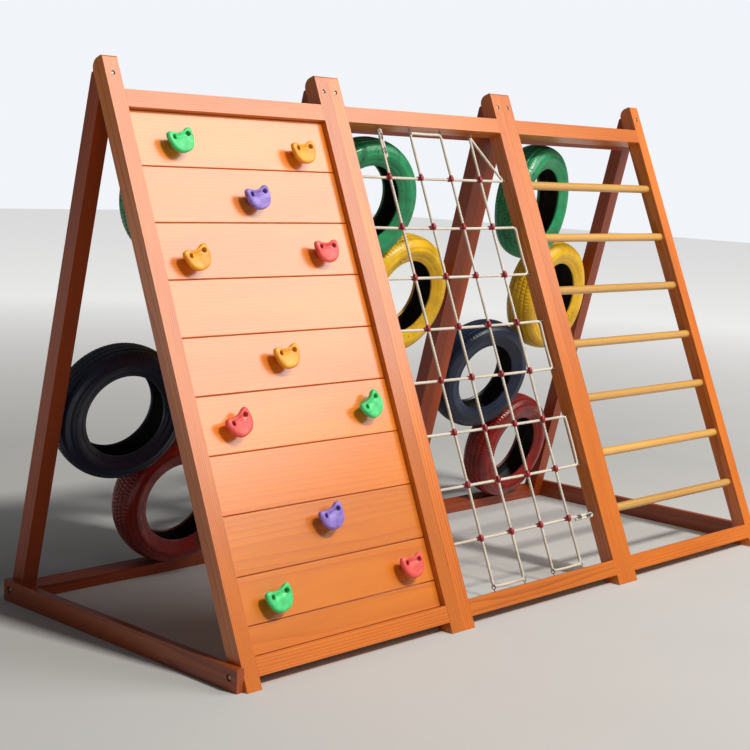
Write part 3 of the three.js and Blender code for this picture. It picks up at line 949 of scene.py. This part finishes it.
tread = []
for number, (start, end) in enumerate(ribs):
    for share in (0.0, 0.04, 0.5, 0.96, 1.0):
        across = start + (end - start) * share
        depth = RIB_EDGE_DEEP if share in (0.0, 1.0) else 0.0
        tread.append((across, depth, number))
    if number < len(ribs) - 1:
        following = ribs[number + 1][0]
        tread.append((end + GROOVE_WALL, GROOVE_DEEP, None))
        tread.append((following - GROOVE_WALL, GROOVE_DEEP, None))
tyre_shape = bmesh.new()
rings = []
for i in range(AROUND):
    angle = 2 * math.pi * i / AROUND
    section = [(radius, across, 1) for radius, across in reversed(lining)]
    section += [(radius, across, 0) for radius, across in wall_line]
    for across, depth, number in reversed(tread):
        on_cut = number is not None and (i + BLOCK_STAGGER[number]) % BLOCK == 0
        section.append((crown(across) - (CUT_DEEP if on_cut else depth), across, 0))
    section += [(radius, -across, 0) for radius, across in reversed(wall_line)]
    section += [(radius, -across, 1) for radius, across in lining]
    squash = 1 + OUT_OF_ROUND * math.sin(angle * 2 + 0.4)
    ring = []
    for radius, across, _ in section:
        spot = (radius * squash * math.cos(angle), radius * squash * math.sin(angle), across)
        ring.append(tyre_shape.verts.new(spot))
    rings.append(ring)
# The inside wall's faces take the second, near-black finish: bare rubber, and painted shade of the
# hollow.
inside = [mark for _, _, mark in section]
for here, following in zip(rings, rings[1:] + rings[:1]):
    for k, face in enumerate(wrap(tyre_shape, here, following)):
        face.material_index = 1 if inside[k] and inside[(k + 1) % len(inside)] else 0
tyre_mesh = mesh_of("tyre", tyre_shape, 38)

# Chips and scuffs of painted rubber: a mask of small chips that gather in patches, where the
# rubber shows, and a second one of dust.
scuffs, given, result = effect_group(
    "scuffs",
    [("Vector", "Vector", None), ("Patch Scale", "Float", 6.0), ("Amount", "Float", 0.5)],
    [("Mask", "Float"), ("Dust", "Float")],
)
broad = shader(
    scuffs,
    "TexNoise",
    {"Vector": given.outputs["Vector"], "Scale": given.outputs["Patch Scale"], "Detail": 3.0},
)
fine = shader(scuffs, "TexNoise", {"Vector": given.outputs["Vector"], "Scale": 95.0, "Detail": 5.0})
both = maths(scuffs, "MULTIPLY", broad.outputs[0], fine.outputs[0])
edge = maths(scuffs, "SUBTRACT", 0.46, maths(scuffs, "MULTIPLY", given.outputs["Amount"], 0.2))
top = maths(scuffs, "ADD", edge, 0.03)
scuffs.links.new(spread(scuffs, both, edge, top), result.inputs["Mask"])
scuffs.links.new(spread(scuffs, broad.outputs[0], 0.35, 0.75), result.inputs["Dust"])


def tyre_paint(name, paint, faded, rough):
    """Brushed-on enamel over rubber, chipped through in small scuffs and dusty in patches."""
    made, tree = new_material(name)
    place = shader(tree, "TexCoord")
    marks = shader(tree, "Group", {}, node_tree=scuffs)
    tree.links.new(place.outputs["Object"], marks.inputs["Vector"])
    marks.inputs["Amount"].default_value = 0.40
    marks.inputs["Patch Scale"].default_value = 7.0
    brush = flecks(tree, 24.0, 4.0)
    coat = blend(tree, spread(tree, brush, 0.35, 0.7), paint, faded)
    dust = maths(tree, "MULTIPLY", marks.outputs["Dust"], 0.025)
    dusted = blend(tree, dust, coat, (0.30, 0.27, 0.23, 1))
    chipped = blend(tree, marks.outputs["Mask"], dusted, (0.016, 0.016, 0.017, 1))
    surface = principled(tree, {})
    tree.links.new(chipped, surface.inputs["Base Color"])
    shine = spread(tree, brush, 0.3, 0.7, rough, rough + 0.16)
    duller = maths(tree, "ADD", shine, maths(tree, "MULTIPLY", marks.outputs["Mask"], 0.3))
    tree.links.new(duller, surface.inputs["Roughness"])
    chips = maths(tree, "MULTIPLY", marks.outputs["Mask"], 0.6)
    height = maths(tree, "SUBTRACT", brush, chips)
    bump = shader(tree, "Bump", {"Height": height, "Strength": 0.22, "Distance": 0.0012})
    tree.links.new(bump.outputs[0], surface.inputs["Normal"])
    return made


# Inside of the tyres: near-black, partly bare rubber and partly painted shade in the hollow.
inner_rubber_and_shade = mottled(
    "bare_rubber_and_painted_shade",
    (18.0, 5.0),
    [(0.014, 0.014, 0.015, 1), (0.050, 0.047, 0.043, 1)],
    (0.55, 0.8),
    {"Specular IOR Level": 0.35},
)
enamels = {
    "green": [(0.014, 0.290, 0.105, 1), (0.008, 0.190, 0.072, 1), 0.26],
    "yellow": [(0.830, 0.500, 0.008, 1), (0.680, 0.370, 0.005, 1), 0.28],
    "navy": [(0.005, 0.015, 0.048, 1), (0.003, 0.007, 0.022, 1), 0.26],
    "red": [(0.270, 0.010, 0.005, 1), (0.140, 0.004, 0.002, 1), 0.20],
}
paints = {colour: tyre_paint("enamel_" + colour, *looks) for colour, looks in enamels.items()}
BAY_SPIN = 1.3
ORDER_SPIN = 2.1
# Degrees that each tyre is turned about the slope of its frame, and tipped over it
TWIST = {
    "tyre_1_navy": (9, 0),
    "tyre_1_red": (8, -4),
    "tyre_2_green": (7, 0),
    "tyre_3_green": (-12, -7),
    "tyre_3_yellow": (-6, -6),
    "tyre_3_navy": (8, 2),
    "tyre_3_red": (-3, 0),
}
frame_axes = Matrix((INTO_REAR, UP_REAR, ALONG)).transposed().to_4x4()
for bay in bays:
    for order, colour in enumerate(paints):
        node = f"tyre_{bay}_{colour}"
        low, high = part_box(node)
        turned, tipped = TWIST.get(node, (0, 0))
        lay_in = Matrix.Translation((low + high) / 2) @ frame_axes
        lay_in @= Matrix.Rotation(math.radians(tipped), 4, "Z")
        lay_in @= Matrix.Rotation(math.radians(90 - turned), 4, "Y")
        lay_in @= Matrix.Rotation(bay * BAY_SPIN + order * ORDER_SPIN, 4, "Z")
        name, slot = node + "_cover", "tyre_" + colour
        painted = add_piece(name, tyre_mesh.copy(), paints[colour], (node,), lay_in)
        painted.data.materials.append(inner_rubber_and_shade)

# Frame bolts: zinc-plated hexagon bolts with washers, sunk in round pockets: one through the
# head of each stile into its rear leg, and one at each end of the side rails.
HEAD_BOLT = [(0, 0.0056), (0.0040, 0.0056), (0.0052, 0.0050), (0.0052, 0.0014), (0.0074, 0.0014)]
HEAD_BOLT += [(0.0076, 0.0010), (0.0076, 0.0001), (0, 0.0001)]
HEAD_BOLT_UP = 1.984
HEAD_POCKET = 0.007
RAIL_BOLT = [(radius * 1.5, height * 1.45) for radius, height in HEAD_BOLT]
RAIL_BOLTS_BEHIND = (0.054, 1.230)
RAIL_BOLT_HIGH = 0.042
RAIL_POCKET = 0.010
frame_bolts = bmesh.new()
for bay in range(3):
    for along in (TIMBER / 2, BAY - TIMBER / 2):
        spot = on_front(bay, along, HEAD_BOLT_UP, HEAD_POCKET)
        turned_part(frame_bolts, HEAD_BOLT[::-1], frame_at(spot, -INTO_FRONT), 12)
for side in (-1, 1):
    for behind in RAIL_BOLTS_BEHIND:
        spot = Vector((side * (cad_high.x - RAIL_POCKET), WALL_FRONT + behind, RAIL_BOLT_HIGH))
        turned_part(frame_bolts, RAIL_BOLT[::-1], frame_at(spot, ALONG * side), 12)
add_piece("frame_bolts", mesh_of("frame_bolts", frame_bolts), steel)

# Ground: a plain pale floor that the wall stands on. It glows faintly far off, so that it stays
# pale out to the horizon.
FLOOR_HALF = 30
GLOW_FROM = 3.0
GLOW_FULL = 11.0
GLOW = 0.62
ground, tree = new_material("pale_floor")
place = shader(tree, "TexCoord")
surface = principled(
    tree, {"Roughness": 0.85, "Specular IOR Level": 0.1, "Emission Color": (1.0, 1.0, 1.0, 1)}
)
shade = blend(tree, flecks(tree, 1.5, 4.0), (0.58, 0.58, 0.57, 1), (0.54, 0.54, 0.53, 1))
tree.links.new(shade, surface.inputs["Base Color"])
away = shader(tree, "VectorMath", {"Vector": place.outputs["Object"]}, operation="LENGTH")
glow = spread(tree, away.outputs["Value"], GLOW_FROM, GLOW_FULL, 0.0, GLOW)
tree.links.new(glow, surface.inputs["Emission Strength"])
slab = bmesh.new()
bmesh.ops.create_grid(slab, x_segments=1, y_segments=1, size=FLOOR_HALF)
floor = bpy.data.objects.new("floor", mesh_of("floor", slab))
bpy.context.scene.collection.objects.link(floor)
floor.data.materials.append(ground)
floor.location.z = -0.0005
floor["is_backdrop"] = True


# Light: a warm key high in front like a late morning sun, a broad softbox on the right whose
# sheen lies on the upper boards, and a pale room.
def softbox(name, spot, aim, wide, power, colour):
    """A square area light."""
    lamp = bpy.data.lights.new(name, "AREA")
    lamp.size = wide
    lamp.energy = power
    lamp.color = colour
    holder = bpy.data.objects.new(name, lamp)
    bpy.context.scene.collection.objects.link(holder)
    way = Vector(aim) - Vector(spot)
    facing = way.to_track_quat("-Z", "Y").to_matrix().to_4x4()
    holder.matrix_world = Matrix.Translation(spot) @ facing


softbox(
    "key",
    spot=(1.6, -13.0, 15.4),
    aim=(0, -0.1, 0.9),
    wide=2.0,
    power=3150,
    colour=(1.0, 0.96, 0.90),
)
softbox(
    "sheen",
    spot=(3.3, -4.1, 5.2),
    aim=(-1.0, -0.35, 0.95),
    wide=4.4,
    power=245,
    colour=(1.0, 0.98, 0.96),
)
FILL = 0.11
BACKDROP = 0.95
room = bpy.data.worlds.new("room")
bpy.context.scene.world = room
room.use_nodes = True
room_tree = room.node_tree
backdrop = room_tree.nodes["Background"]
backdrop.inputs["Color"].default_value = (0.93, 0.96, 1.0, 1)
seen = shader(room_tree, "LightPath")
bright = spread(room_tree, seen.outputs["Is Camera Ray"], 0.0, 1.0, FILL, BACKDROP)
room_tree.links.new(bright, backdrop.inputs["Strength"])
bpy.context.scene.view_settings.view_transform = "Standard"

low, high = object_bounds()
